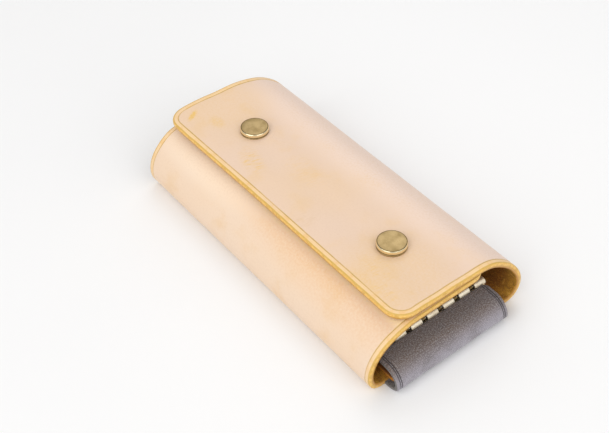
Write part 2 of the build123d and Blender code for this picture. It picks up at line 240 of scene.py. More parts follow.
def evenly(points, step):
    """The same line with its points step apart, and its length."""
    points = np.array(points, float)
    gaps = np.linalg.norm(np.diff(points, axis=0), axis=1)
    along = np.concatenate([[0.0], np.cumsum(gaps)])
    at = np.linspace(0.0, along[-1], max(2, int(round(along[-1] / step)) + 1))
    return np.stack([np.interp(at, along, points[:, k]) for k in (0, 1)], axis=1), along[-1]


class Run:
    """A sheet's outer face seen end on: a line with eased bends, and the way out of it."""

    step = 0.2 * mm

    def __init__(self, points, easing, side):
        line, _ = evenly(points, self.step)
        count = max(1, int(easing / self.step / 2))
        lead = [2 * line[0] - line[i] for i in range(count, 0, -1)]
        tail = [2 * line[-1] - line[-1 - i] for i in range(1, count + 1)]
        full = np.vstack([lead, line, tail])
        kernel = np.ones(2 * count + 1) / (2 * count + 1)
        eased = [np.convolve(full[:, k], kernel, mode="valid") for k in (0, 1)]
        self.line, self.length = evenly(np.stack(eased, axis=1), self.step)
        slope = np.gradient(self.line, axis=0)
        slope /= np.linalg.norm(slope, axis=1)[:, None]
        self.out = side * np.stack([slope[:, 1], -slope[:, 0]], axis=1)
        self.at = np.linspace(0.0, self.length, len(self.line))

    def place(self, along):
        """Points on the line, and the way out at each."""
        spot = np.stack([np.interp(along, self.at, self.line[:, k]) for k in (0, 1)], axis=1)
        out = np.stack([np.interp(along, self.at, self.out[:, k]) for k in (0, 1)], axis=1)
        return spot, out / np.linalg.norm(out, axis=1)[:, None]


def edge_rings(thickness, rounding, inset, depth, spread):
    """Rings from inside the flesh side, round the edge, to inside the grain side, as pairs of
    distance in from the edge and depth below the grain."""
    turns = [radians(angle) for angle in (0, 18, 36, 54, 72, 90)]
    over = [(rounding * (1 - cos(a)), thickness / 2 * (1 - sin(a))) for a in turns]
    under = [(in_by, thickness - down) for in_by, down in over[:0:-1]]
    offsets = (-2.6, -1.6, -1.0, -0.5, 0.0, 0.5, 1.0, 1.6, 2.6)
    groove = [(inset + k * spread, depth * exp(-k * k)) for k in offsets]
    return [(inset, thickness)] + under + over + groove


def sheet_points(width, length, corner, rings, step):
    """Flat places of a sheet's points: rings round three edges, then a grid inside them.

    The sheet runs from a plain cut at 0 to a free end at length with rounded corners. Gives
    each point's place across, place along, inset and depth, and the faces."""
    inner = corner + 1.0 * mm
    leg = 3.0 * mm
    straight = length - inner - leg
    legs = np.linspace(0.0, straight, int(ceil(straight / step)) + 1)
    half = width / 2 - inner - leg
    across = np.linspace(-half, half, int(ceil(2 * half / step)) + 1)
    plain = inner + leg - corner
    bend = corner * pi / 2
    parts = int(ceil((plain + bend / 2) / (0.6 * step)))
    travel = np.linspace(0.0, 2 * plain + bend, 2 * parts + 1)

    def near_corner(inset):
        """The left corner's points at this inset, from the leg round to the free end."""
        radius = corner - inset
        places = []
        for t in travel:
            if t < plain:
                places.append((inset, straight + t))
            elif t > plain + bend:
                places.append((corner + t - plain - bend, length - inset))
            else:
                a = (t - plain) / corner
                places.append((corner - radius * cos(a), length - corner + radius * sin(a)))
        return np.array(places)

    def inner_corner():
        """The same points on the square corner of the grid inside."""
        legs_up = [(inner, straight + leg * i / parts) for i in range(parts)]
        legs_over = [(inner + leg * i / parts, length - inner) for i in range(parts + 1)]
        return np.array(legs_up + legs_over)

    def loop(inset):
        """All the points of one ring."""
        turn_in = 0.75 * corner
        if inset <= turn_in:
            bow = near_corner(inset)
        else:
            share = (inset - turn_in) / (inner - turn_in)
            bow = (1 - share) * near_corner(turn_in) + share * inner_corner()
        up_leg = [(inset, s) for s in legs[:-1]]
        top = [(x + width / 2, length - inset) for x in across[1:-1]]
        left = np.array(up_leg + [tuple(p) for p in bow])
        right_side = np.stack([width - left[::-1, 0], left[::-1, 1]], axis=1)
        whole = np.vstack([left, np.array(top).reshape(-1, 2), right_side])
        return np.stack([whole[:, 0] - width / 2, whole[:, 1]], axis=1)

    spread = (0.45, 0.75)
    last_in, grain = rings[-1]
    first_in, flesh = rings[0]
    rings = (
        [(first_in + (inner - first_in) * k, flesh) for k in (1.0, *spread[::-1])]
        + list(rings)
        + [(last_in + (inner - last_in) * k, grain) for k in (*spread, 1.0)]
    )
    flat, insets, depths = [], [], []
    for inset, depth in rings:
        points = loop(inset)
        flat.append(points)
        insets.append(np.full(len(points), inset))
        depths.append(np.full(len(points), depth))
    size = len(flat[0])
    faces = []
    for ring in range(len(rings) - 1):
        for i in range(size - 1):
            a = ring * size + i
            faces.append((a, a + 1, a + size + 1, a + size))

    rows = np.concatenate([legs, straight + leg * np.arange(1, parts + 1) / parts])
    over = np.concatenate([
        -width / 2 + inner + leg * np.arange(parts) / parts,
        across,
        width / 2 - inner - leg + leg * np.arange(1, parts + 1) / parts,
    ])
    total = size * len(rings)
    cut_rows = []
    for first, depth in ((0, flesh), (size * (len(rings) - 1), grain)):
        height, breadth = len(rows), len(over)
        number = np.zeros((height, breadth), int)
        number[:, 0] = first + np.arange(height)
        number[-1, :] = first + height - 1 + np.arange(breadth)
        number[::-1, -1] = first + height + breadth - 2 + np.arange(height)
        inside = np.array([(x, s) for s in rows[:-1] for x in over[1:-1]])
        number[:-1, 1:-1] = total + np.arange(len(inside)).reshape(height - 1, breadth - 2)
        flat.append(inside)
        insets.append(np.minimum(width / 2 - abs(inside[:, 0]), length - inside[:, 1]))
        depths.append(np.full(len(inside), depth))
        total += len(inside)
        for r in range(height - 1):
            for c in range(breadth - 1):
                quad = number[r, c], number[r, c + 1], number[r + 1, c + 1], number[r + 1, c]
                faces.append(tuple(int(n) for n in quad))
        cut_rows.append(number[0])
    # the plain cut joins the two faces' first rows through the rings' ends
    left_ends = [k * size for k in range(len(rings))]
    right_ends = [k * size + size - 1 for k in range(len(rings))]
    under_row, over_row = cut_rows
    faces.append(tuple(int(n) for n in
                       [*left_ends, *over_row[1:], *right_ends[::-1][1:], *under_row[::-1][1:-1]]))
    return np.vstack(flat), np.concatenate(insets), np.concatenate(depths), faces


def fit_sheet(name, run, width, corner, thickness, rings, step, to_space, relief):
    """Lays a flat sheet along its run, with what its material reads stored on its points."""
    flat, insets, depths, faces = sheet_points(width, run.length, corner, rings, step)
    spot, out = run.place(flat[:, 1])
    rise = np.array([relief(x, s) for x, s in flat])
    spot = spot - out * (depths * thickness(flat[:, 1]) - rise)[:, None]
    made = new_object(name, to_space(flat[:, 0], spot), faces)
    store = made.data.attributes
    sheet = np.stack([flat[:, 0], flat[:, 1], depths * leather], axis=1) / mm
    store.new("sheet", "FLOAT_VECTOR", "POINT").data.foreach_set("vector", sheet.ravel())
    store.new("inset", "FLOAT", "POINT").data.foreach_set("value", insets / mm)
    store.new("depth", "FLOAT", "POINT").data.foreach_set("value", depths)
    return made


def stored(tree, name, output):
    """What a mesh's points carry under this name."""
    made = tree.nodes.new("ShaderNodeAttribute")
    made.attribute_name = name
    return made.outputs[output]


def calc(tree, operation, first, second=0.0):
    """Arithmetic on two values."""
    return put(tree, "Math", {0: first, 1: second}, operation=operation)


def raise_bumps(tree, shader, height, distance):
    """Turns a height from 0 to 1 into bumps that stand distance high."""
    inputs = {"Height": height, "Distance": distance, "Strength": 1.0}
    tree.links.new(put(tree, "Bump", inputs), shader.inputs["Normal"])


def patch(tree, places, centre, radii, turn):
    """A soft-edged oval, 1 inside and 0 outside, at a place on the sheet in millimetres."""
    soft = 0.5
    moved = put(tree, "Mapping", {
        "Vector": places,
        "Location": (centre[0], centre[1], 0.0),
        "Rotation": (0.0, 0.0, radians(turn)),
        "Scale": (radii[0], radii[1], 1000.0),
    }, vector_type="TEXTURE")
    length = tree.nodes.new("ShaderNodeVectorMath")
    length.operation = "LENGTH"
    tree.links.new(moved, length.inputs[0])
    return ramp(tree, length.outputs["Value"], 1.0 + soft, 1.0 - soft)


def tanned_leather(name, fresh, tanned, smears, scuffs=()):
    """Natural leather: pale grain, mustard dyed edges and crease, brown flesh side.

    Each smear or scuff is its centre and radii on the sheet in millimetres, its turn in
    degrees, its strength and its colour. A smear is mottled and a scuff is streaked. Smears
    are stains, and some are painted light and shade."""
    made, tree, shader = new_material(name, Specular_IOR_Level=0.5)
    sheet = stored(tree, "sheet", "Vector")
    inset = stored(tree, "inset", "Fac")
    depth = stored(tree, "depth", "Fac")
    clouds = speckle(tree, sheet, 0.022, 2.0)
    drift = speckle(tree, sheet, 0.09, 4.0)
    fibre = speckle(tree, sheet, 1.3, 6.0, 0.62)
    pores = put(tree, "TexVoronoi", {"Vector": sheet, "Scale": 2.6, "Randomness": 1.0})
    wander = calc(tree, "MULTIPLY", calc(tree, "SUBTRACT", drift, 0.5), 0.5)
    edge = calc(tree, "ADD", inset, wander)

    grain = lay(tree, ramp(tree, clouds, 0.35, 0.65), fresh, tanned)
    grain = lay(tree, ramp(tree, drift, 0.50, 0.72, 0.0, 0.55), grain, grain_cloud)
    grain = lay(tree, ramp(tree, fibre, 0.42, 0.72, 0.0, 0.16), grain, grain_fibre)
    grain = lay(tree, ramp(tree, pores, 0.16, 0.02, 0.0, 0.18), grain, grain_pore)
    drawn_out = put(tree, "Mapping", {
        "Vector": sheet,
        "Rotation": (0.0, 0.0, radians(12)),
        "Scale": (0.5, 3.6, 1000.0),
    }, vector_type="TEXTURE")
    streaks = ramp(tree, speckle(tree, drawn_out, 1.0, 5.0, 0.7), 0.44, 0.68)
    mottling = ramp(tree, fibre, 0.3, 0.6, 0.35, 1.0)
    for marks, pattern in ((smears, mottling), (scuffs, streaks)):
        for centre, radii, turn, strength, colour in marks:
            mark = calc(tree, "MULTIPLY", patch(tree, sheet, centre, radii, turn), pattern)
            grain = lay(tree, calc(tree, "MULTIPLY", mark, strength), grain, colour)

    # the pale band between the crease and the edge, the creased line and the dye's dark border
    band = calc(tree, "MULTIPLY", ramp(tree, edge, 2.15, 1.75), ramp(tree, drift, 0.25, 0.6, 0.6, 0.95))
    blots = ramp(tree, speckle(tree, sheet, 0.30, 3.0, 0.6), 0.46, 0.66, 0.0, 0.7)
    banded = lay(tree, blots, band_pale, band_blot)
    grain = lay(tree, band, grain, banded)
    lines = calc(tree, "ABSOLUTE", calc(tree, "SUBTRACT", inset, crease_inset / mm))
    line = calc(tree, "MULTIPLY", ramp(tree, lines, 0.30, 0.08), ramp(tree, drift, 0.32, 0.56, 0.5, 0.95))
    grain = lay(tree, line, grain, crease_brown)
    bleed = calc(tree, "MULTIPLY", ramp(tree, edge, 0.80, 0.45), ramp(tree, fibre, 0.2, 0.6, 0.75, 1.0))
    grain = lay(tree, bleed, grain, dye_border)

    flecks = speckle(tree, sheet, 0.75, 3.0, 0.6)
    dyed = lay(tree, ramp(tree, fibre, 0.35, 0.65), dye_bright, dye_deep)
    dyed = lay(tree, ramp(tree, flecks, 0.46, 0.62, 0.10, 0.65), dyed, dye_fleck)
    dyed = lay(tree, ramp(tree, depth, 0.35, 0.80, 0.0, 0.7), dyed, dye_lower)
    worn = calc(tree, "ABSOLUTE", calc(tree, "SUBTRACT", depth, 0.62))
    dyed = lay(tree, ramp(tree, worn, 0.10, 0.03, 0.0, 0.75), dyed, dye_line)
    dyed = lay(tree, ramp(tree, depth, 0.66, 0.90, 0.0, 0.85), dyed, dye_foot)
    flesh = lay(tree, ramp(tree, fibre, 0.35, 0.7), flesh_light, flesh_dark)
    flesh = lay(tree, ramp(tree, edge, 7.0, 1.0, 0.0, 0.6), flesh, flesh_stained)
    flecked = ramp(tree, edge, 8.0, 1.0, 0.15, 0.55)
    dark_flecks = calc(tree, "MULTIPLY", ramp(tree, flecks, 0.54, 0.62), flecked)
    pale_flecks = calc(tree, "MULTIPLY", ramp(tree, flecks, 0.42, 0.35), flecked)
    flesh = lay(tree, dark_flecks, flesh, flesh_pit)
    flesh = lay(tree, pale_flecks, flesh, flesh_gold)
    hairs = speckle(tree, sheet, 3.4, 2.0)
    flesh = lay(tree, ramp(tree, hairs, 0.58, 0.70, 0.0, 0.7), flesh, hair_dark)
    flesh = lay(tree, ramp(tree, hairs, 0.42, 0.34, 0.0, 0.6), flesh, hair_gold)
    flesh = lay(tree, ramp(tree, drift, 0.5, 0.7, 0.0, 0.5), flesh, flesh_cloud)

    skin = lay(tree, ramp(tree, depth, 0.04, 0.14), grain, dyed)
    skin = lay(tree, ramp(tree, depth, 0.90, 0.985), skin, flesh)
    tree.links.new(skin, shader.inputs["Base Color"])

    shine = ramp(tree, drift, 0.3, 0.7, 0.50, 0.62)
    polished = calc(tree, "MULTIPLY", ramp(tree, inset, 1.1, 0.4), ramp(tree, depth, 0.95, 0.8))
    shine = calc(tree, "SUBTRACT", shine, calc(tree, "MULTIPLY", polished, 0.20))
    shine = calc(tree, "ADD", shine, ramp(tree, depth, 0.9, 0.99, 0.0, 0.3))
    tree.links.new(shine, shader.inputs["Roughness"])

    rough_side = ramp(tree, depth, 0.9, 0.99)
    nap = calc(tree, "MULTIPLY", calc(tree, "MULTIPLY", hairs, rough_side), 2.2)
    fine = calc(tree, "ADD", fibre, ramp(tree, pores, 0.0, 0.25, 0.0, 0.35))
    raise_bumps(tree, shader, calc(tree, "ADD", fine, nap), 0.045 * mm)
    return made


def cross_section(across, spot):
    """Places on the case, from how far along it and where on its end view."""
    return np.stack([across, spot[:, 0], spot[:, 1]], axis=1)


def smooth(value, start, end):
    """Runs smoothly from 0 at start to 1 at end."""
    t = np.clip((value - start) / (end - start), 0.0, 1.0)
    return t * t * (3 - 2 * t)


askew = 1.6 * mm
spine_askew = 0.9 * mm
corner_lift = 1.1 * mm
corner_spread = 1.1 * mm
crown_rise = 1.4 * mm


def as_cut(across, spot):
    """The same places, with the hide's end cut a little askew at the flap's far corner and the
    key end's spine, that far corner lifted and drawn outwards, and the far end crowned."""
    x, y, z = across, spot[:, 0], spot[:, 1]
    on_flap = smooth(z, 14.0 * mm, 20.0 * mm)
    far = smooth(-x, 5.0 * mm, half_length) * on_flap
    free = far * smooth(-y, -6.0 * mm, 20.0 * mm)
    spine = smooth(x, 35.0 * mm, half_length) * smooth(y, 20.0 * mm, 30.0 * mm)
    spine = spine * smooth(-z, -17.0 * mm, -9.0 * mm)
    crown = smooth(-x, 40.0 * mm, half_length) * on_flap
    crown = crown * smooth(y, -16.0 * mm, -3.0 * mm) * smooth(-y, -16.0 * mm, -4.0 * mm)
    lift = corner_lift * (0.3 * far + 0.7 * free) + crown_rise * crown
    x = x - askew * (0.25 * far + 0.75 * free) + spine_askew * spine
    return np.stack([x, y - corner_spread * free, z + lift], axis=1)


spine_centre = (half_width - spine_fold[0], spine_base)
spine_points = [(0.0, 0.0)]
spine_points += fold_curve((half_width - spine_corner[0], spine_base), spine_corner, -90, 0)
spine_points += fold_curve(spine_centre, spine_fold, 0, 90)
spine_points += [(flap_low.y, flap_edge)]
spine_run = Run(spine_points, bend_easing, 1)
spine_sag = 0.9 * mm
spine_shoulder = 50.0 * mm
on_top = np.where(spine_run.line[:, 1] > spine_base)[0]
snap_along = float(spine_run.at[on_top[np.argmin(abs(spine_run.line[on_top, 0] - snap_y))]])
snap_dip = 0.75 * mm
snap_ring = (5.6 * mm, 0.9 * mm, 0.16 * mm)
hide_wave = 0.11 * mm
sheet_step = 1.4 * mm


def hide_waves(x, s):
    """Slow waves of the hide, by place along the case and along the sheet."""
    return hide_wave * noise.noise(Vector((x / (26 * mm), s / (24 * mm), 2.0)))


def flap_relief(x, s):
    """How far the sheet stands proud: the hide's waves, a slacker shoulder where the spine
    turns over, a rise towards the free edge, and a ring pressed in by each snap."""
    stand = hide_waves(x, s) - spine_sag * exp(-((s - spine_shoulder) / (9 * mm)) ** 2)
    past = s - snap_along
    dip = smooth(-past, 0.0, 12 * mm) - smooth(-past, 10 * mm, 22 * mm)
    dip = dip * (1 - smooth(-x, 44 * mm, half_length))
    stand += snap_dip * (smooth(past, 0.0, 12 * mm) - dip)
    radius, spread, pressed = snap_ring
    for cap_x in (-snap_x, snap_x):
        off = hypot(x - cap_x, s - snap_along)
        stand -= pressed * exp(-((off - radius) / spread) ** 2)
    return stand


def full_thickness(s):
    """The leather's thickness, the same all along."""
    return np.full(len(s), leather)


rings = edge_rings(1.0, edge_rounding, crease_inset, crease_depth / leather, crease_spread)
flap = fit_sheet("leather_spine_and_flap", spine_run, 2 * half_length, flap_corner,
                 full_thickness, rings, sheet_step, as_cut, flap_relief)
mustard = (0.80, 0.50, 0.12)
flap_leather = tanned_leather("tan_leather_flap", (0.797, 0.594, 0.452), (0.807, 0.588, 0.408), [
    # partly painted light lifting the shade where the spine turns over, partly the spine's paler, pinker tone
    ((0.0, 48.0), (90.0, 17.0), 0.0, 0.90, (0.88, 0.70, 0.60)),
    ((-54.6, 88.4), (0.9, 2.6), -31.0, 0.9, mustard),
    ((-46.7, 84.0), (3.0, 2.0), 0.0, 0.35, mustard),
    ((41.0, 94.0), (7.0, 3.0), -10.0, 0.25, mustard),
    ((-52.0, 76.0), (14.0, 14.0), 0.0, 0.20, mustard),
    ((46.0, 84.0), (16.0, 16.0), 0.0, 0.26, mustard),
], [
    ((-23.5, 86.7), (6.0, 3.2), 20.0, 0.85, mustard),
    ((41.0, 86.5), (6.0, 3.5), 0.0, 0.45, mustard),
    ((50.0, 91.5), (5.0, 3.0), 0.0, 0.45, mustard),
    ((10.0, 90.0), (3.0, 4.0), 0.0, 0.25, (0.62, 0.41, 0.20)),
    ((-8.0, 76.0), (9.0, 5.0), 0.0, 0.30, mustard),
])
flap.data.materials.append(flap_leather)
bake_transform(flap, "case_back", "flap", start=(0, half_width, 7.0 * mm), end=(0, half_width, 18.0 * mm))
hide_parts("flap", "back_panel")

# --- Leather sheet, front side: back panel, low fold and front panel --------------------------
# The other half of the same piece. It folds up round the front and runs on under the flap.

front_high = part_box("front_panel")[1]
front_fold = (15.6 * mm, 14.2 * mm)
front_base = front_high.z - front_fold[1]
front_corner_width = 4.0 * mm
front_points = [(0.0, 0.0)]
front_points += fold_curve((front_corner_width - half_width, front_base),
                           (front_corner_width, front_base), 270, 180)
front_points += fold_curve((front_fold[0] - half_width, front_base), front_fold, 180, 90)
front_points += [(front_high.y, front_high.z)]
front_run = Run(front_points, bend_easing, -1)
front_top = front_run.length - (front_high.y - front_fold[0] + half_width)
front_corner = 5.0 * mm
front_push = 1.05 * mm
front_swell = 0.7 * mm


def front_relief(x, s):
    """The hide's waves, the same at the join as on the spine side. The panel swells under the
    flap's edge, and the hooks push its key end up against the flap."""
    pushed = smooth(s, front_top - 6 * mm, front_top + 4 * mm)
    pushed = pushed + 0.35 * smooth(s, front_top, front_run.length)
    swollen = smooth(s, front_top - 13 * mm, front_top - 4 * mm)
    swollen = swollen * (1 - smooth(s, front_top + 2 * mm, front_top + 12 * mm))
    key_end = smooth(x, 34 * mm, 58 * mm)
    return hide_waves(x, -s) + front_push * pushed * key_end + front_swell * swollen * (1 - key_end)


front = fit_sheet("leather_front", front_run, 2 * half_length, front_corner, full_thickness, rings,
                  sheet_step, cross_section, front_relief)
# Painted shade: a golden colour laid on the front panel where the flap's edge shades it.
painted_shade_gold = (0.80, 0.43, 0.15)
front_leather = tanned_leather("tan_leather_front", (0.835, 0.648, 0.492), (0.845, 0.640, 0.465), [
    # painted golden shade in a band under the flap's edge, stronger towards the key end
    ((0.0, 54.0), (90.0, 5.0), 0.0, 0.24, painted_shade_gold),
    ((38.0, 50.5), (42.0, 7.0), 0.0, 0.22, painted_shade_gold),
    # painted light: a pale strip lifts the shade right under the flap's edge, partly also the paler leather
    # the flap keeps covered
    ((0.0, 57.0), (90.0, 2.6), 0.0, 1.2, (0.96, 0.73, 0.42)),
    # painted light: lightens the shade under the flap's edge on the far half
    ((-38.0, 53.5), (30.0, 7.0), 0.0, 0.6, (0.98, 0.80, 0.62)),
])
front.data.materials.append(front_leather)
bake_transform(front, "case_back", "front", start=(0, -half_width, 5.0 * mm), end=(0, -half_width, 16.0 * mm))
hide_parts("front_panel")

# --- Suede tongue ---------------------------------------------------------------------------
# Grey suede folded in a U round the key end, its tail let in flush under the back panel and
# its other end laid over the key rail's plate. Its edges are creased and dark.

suede_low, suede_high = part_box("suede_upper")
tongue_y = (suede_low.y + suede_high.y) / 2
suede_width = suede_high.y - suede_low.y
suede = 1.4 * mm
suede_skived = 1.0 * mm
nose_x, nose_z = 61.2 * mm, 3.0 * mm
nose_reach = suede_high.x - nose_x
tail_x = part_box("suede_lower")[0].x
rail_overlap = 0.45 * mm
suede_points = [(tail_x, 0.0)]
suede_points += fold_curve((nose_x, nose_z), (nose_reach, nose_z), -90, 0)
suede_points += fold_curve((nose_x, nose_z), (nose_reach, suede_high.z - nose_z), 0, 90)
suede_points += [(suede_low.x - rail_overlap, suede_high.z)]
suede_run = Run(suede_points, 1.0 * mm, 1)


def on_tongue(across, spot):
    """Places on the tongue, from how far across it and where on its side view."""
    return np.stack([spot[:, 0], tongue_y + across, spot[:, 1]], axis=1)


def skived(s):
    """The suede's thickness: thinned where its tail lies under the back panel."""
    under = half_length - tail_x
    share = np.clip((s - under + 1.0 * mm) / (1.0 * mm), 0.0, 1.0)
    return suede_skived + (suede - suede_skived) * share


def nap_relief(x, s):
    """Slow waves along the tongue's fold."""
    free = min(1.0, max(0.0, (s - 13 * mm) / (4 * mm)))
    return free * 0.10 * mm * noise.noise(Vector((x / (9 * mm), s / (6 * mm), 5.0)))


suede_crease = 1.55 * mm
crease_pair = 0.32 * mm
# the first two colours are painted: shade near the rail, light on the nose
suede_rail_shade, suede_nose_light = (0.150, 0.107, 0.080), (0.460, 0.432, 0.500)
suede_blotch, suede_tuft, suede_hair = (0.150, 0.130, 0.130), (0.54, 0.51, 0.53), (0.095, 0.080, 0.085)
suede_line, rim_dark, rim_light = (0.040, 0.035, 0.040), (0.075, 0.068, 0.066), (0.20, 0.185, 0.18)
suede_rings = edge_rings(1.0, 0.35 * mm, suede_crease, 0.07, 0.13 * mm)
suede_strip = fit_sheet("suede_tongue", suede_run, suede_width, 2.0 * mm, skived, suede_rings,
                        0.7 * mm, on_tongue, nap_relief)

nap, tree, shader = new_material("grey_suede", Specular_IOR_Level=0.12, Sheen_Weight=0.35,
                                 Sheen_Roughness=0.5)
sheet = stored(tree, "sheet", "Vector")
inset = stored(tree, "inset", "Fac")
depth = stored(tree, "depth", "Fac")
blotches = speckle(tree, sheet, 0.16, 4.0, 0.6)
tufts = speckle(tree, sheet, 2.2, 6.0, 0.7)
hairs = speckle(tree, sheet, 5.0, 2.0)
across = put(tree, "SeparateXYZ", {"Vector": sheet})
along = across.node.outputs["Y"]
# painted shade and light: darker and browner towards the rail under the flap's mouth, lighter round the nose
# that faces the lamps
nose_light_share = ramp(tree, along, 27.0, 19.5)
body = lay(tree, nose_light_share, suede_rail_shade, suede_nose_light)
body = lay(tree, ramp(tree, blotches, 0.42, 0.68, 0.0, 0.55), body, suede_blotch)
body = lay(tree, ramp(tree, tufts, 0.44, 0.60, 0.0, 0.5), body, suede_tuft)
body = lay(tree, ramp(tree, hairs, 0.56, 0.46, 0.0, 0.55), body, suede_hair)
from_side = calc(tree, "SUBTRACT", suede_width / 2 / mm, calc(tree, "ABSOLUTE", across))
from_crease = calc(tree, "ABSOLUTE", calc(tree, "SUBTRACT", from_side, suede_crease / mm))
line = ramp(tree, calc(tree, "ABSOLUTE", calc(tree, "SUBTRACT", from_crease, crease_pair / mm)), 0.26, 0.10)
body = lay(tree, calc(tree, "MULTIPLY", line, 0.85), body, suede_line)
# the edges are coloured dark grey, with lighter tufts
rim = lay(tree, ramp(tree, tufts, 0.4, 0.6), rim_dark, rim_light)
body = lay(tree, ramp(tree, depth, 0.08, 0.3), body, rim)
tree.links.new(body, shader.inputs["Base Color"])
tree.links.new(ramp(tree, tufts, 0.3, 0.7, 0.78, 0.95), shader.inputs["Roughness"])
raise_bumps(tree, shader, calc(tree, "ADD", tufts, calc(tree, "MULTIPLY", hairs, 0.6)), 0.10 * mm)
suede_strip.data.materials.append(nap)
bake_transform(suede_strip, "case_back", "tongue", start=(suede_high.x, 0, 1.0 * mm),
         end=(suede_high.x, 0, 6.0 * mm))
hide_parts("suede_lower", "suede_upper")

# --- Tongue lining --------------------------------------------------------------------------
# Orange-brown leather inside the suede, a little narrower. It lies on the back panel, turns
# up inside the fold and backs the rail's plate.

lining = 1.4 * mm
lining_low, lining_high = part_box("lining_upper")
lining_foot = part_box("lining_lower")[0]
lining_turn = (nose_x, (lining_foot.z + lining_high.z) / 2)
lining_nose = (lining_high.x - nose_x, (lining_high.z - lining_foot.z) / 2)
lining_points = [(lining_foot.x, lining_foot.z)]
lining_points += fold_curve(lining_turn, lining_nose, -90, 90)
lining_points += [(lining_low.x, lining_high.z)]
lining_run = Run(lining_points, 0.6 * mm, 1)
lining_rings = edge_rings(1.0, 0.3 * mm, 1.0 * mm, 0.07, 0.12 * mm)


def lining_thickness(s):
    """The lining's thickness, the same all along."""
    return np.full(len(s), lining)


def lies_even(x, s):
    """No waves."""
    return 0.0


lining_strip = fit_sheet("leather_lining", lining_run, lining_high.y - lining_low.y, 2.0 * mm,
                         lining_thickness, lining_rings, 0.8 * mm, on_tongue, lies_even)
hide_light, hide_dark, hide_fibre = (0.36, 0.15, 0.035), (0.26, 0.10, 0.025), (0.16, 0.065, 0.02)
cut_light, cut_dark = (0.58, 0.24, 0.03), (0.36, 0.14, 0.02)
brown, tree, shader = new_material("brown_leather", Specular_IOR_Level=0.4)
sheet = stored(tree, "sheet", "Vector")
depth = stored(tree, "depth", "Fac")
cloud = speckle(tree, sheet, 0.12, 4.0)
fibre = speckle(tree, sheet, 1.6, 6.0, 0.6)
hide = lay(tree, ramp(tree, cloud, 0.3, 0.7), hide_light, hide_dark)
hide = lay(tree, ramp(tree, fibre, 0.4, 0.7, 0.0, 0.5), hide, hide_fibre)
cut_edge = lay(tree, ramp(tree, fibre, 0.35, 0.65), cut_light, cut_dark)
hide = lay(tree, calc(tree, "MULTIPLY", ramp(tree, depth, 0.06, 0.2), ramp(tree, depth, 0.97, 0.85)),
           hide, cut_edge)
tree.links.new(hide, shader.inputs["Base Color"])
tree.links.new(ramp(tree, fibre, 0.3, 0.7, 0.45, 0.65), shader.inputs["Roughness"])
raise_bumps(tree, shader, fibre, 0.05 * mm)
lining_strip.data.materials.append(brown)
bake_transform(lining_strip, "case_back", "tongue", start=(suede_high.x, 0, 1.0 * mm),
         end=(suede_high.x, 0, 6.0 * mm))
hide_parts("lining_lower", "lining_upper")

# --- Snap fasteners -------------------------------------------------------------------------
# Antique brass, pressed and turned. A capped post is set through the flap into a socket, and
# a stud and its back flange pinch the front panel.


def turned(name, outline, origin, lean=0.0, sides=96):
    """A turned piece, from the axis round to the axis again: radius, height, and how much
    tarnish lies there, or below 0 how much it is lightened: worn bright, and partly a painted highlight."""
    turn = Matrix.Rotation(lean, 3, "X")
    vertices, faces, rows, tarnish_and_highlight = [], [], [], []
    for radius, height, tarnish in outline:
        count = 1 if radius < 1e-7 else sides
        rows.append([len(vertices) + (i if count > 1 else 0) for i in range(sides)])
        for i in range(count):
            a = 2 * pi * i / sides
            vertices.append(Vector((radius * cos(a), radius * sin(a), height)))
            tarnish_and_highlight.append(tarnish)
    for low, high in zip(rows, rows[1:]):
        for i in range(sides):
            j = (i + 1) % sides
            corner_ids = []
            for n in (low[i], low[j], high[j], high[i]):
                if n not in corner_ids:
                    corner_ids.append(n)
            faces.append(tuple(corner_ids))
    made = new_object(name, [turn @ v + Vector(origin) for v in vertices], faces)
    made.data.attributes.new("tarnish_and_highlight", "FLOAT", "POINT").data.foreach_set("value", tarnish_and_highlight)
    return made


def rounded(outline, radius, parts=5):
    """The same outline, in millimetres, with each corner rounded by up to a radius."""
    points = [Vector(p) if len(p) == 3 else Vector((*p, 0.0)) for p in outline]
    made = [points[0]]
    for before, here, after in zip(points, points[1:], points[2:]):
        back = min(radius, (before - here).xy.length / 2.1, (after - here).xy.length / 2.1)
        start = here + (before - here) * back / (before - here).xy.length
        end = here + (after - here) * back / (after - here).xy.length
        for i in range(parts + 1):
            t = i / parts
            made.append(start * (1 - t) ** 2 + here * (2 * t * (1 - t)) + end * t ** 2)
    return [(p.x * mm, p.y * mm, p.z) for p in made + [points[-1]]]


settled_dark, worn_bright_and_highlight = (0.10, 0.06, 0.02), (0.97, 0.86, 0.58)


def metal(name, colour, worn, dull, shine, brushed):
    """Bare metal: slow tarnish, fine scratches and a grained finish."""
    made, tree, shader = new_material(name, Metallic=1.0)
    places = own_places(tree)
    tarnish = speckle(tree, places, 260.0, 5.0, 0.6)
    grit = speckle(tree, places, 5200.0, 3.0, 0.7)
    stretched = put(tree, "Mapping", {"Vector": places, "Scale": (700.0, 9000.0, 700.0)})
    strokes = speckle(tree, stretched, 1.0, 4.0, 0.7)
    tone = lay(tree, ramp(tree, tarnish, 0.4, 0.66, 0.0, 0.75), colour, dull)
    tone = lay(tree, ramp(tree, grit, 0.56, 0.72, 0.0, 0.5), tone, worn)
    tarnish_and_highlight = stored(tree, "tarnish_and_highlight", "Fac")
    tone = lay(tree, ramp(tree, tarnish_and_highlight, 0.0, 1.0, 0.0, 0.9), tone, settled_dark)
    # below 0 the brass turns pale: worn bright, and partly a painted highlight
    tone = lay(tree, ramp(tree, tarnish_and_highlight, 0.0, -1.0, 0.0, 0.9), tone, worn_bright_and_highlight)
    tree.links.new(tone, shader.inputs["Base Color"])
    gloss = ramp(tree, tarnish, 0.3, 0.7, shine, shine + 0.14)
    gloss = calc(tree, "ADD", gloss, calc(tree, "MULTIPLY", tarnish_and_highlight, 0.25))
    gloss = calc(tree, "ADD", gloss, ramp(tree, strokes, 0.4, 0.7, 0.0, 0.08))
    tree.links.new(gloss, shader.inputs["Roughness"])
    height = calc(tree, "ADD", calc(tree, "MULTIPLY", strokes, brushed), grit)
    raise_bumps(tree, shader, height, 0.006 * mm)
    return made


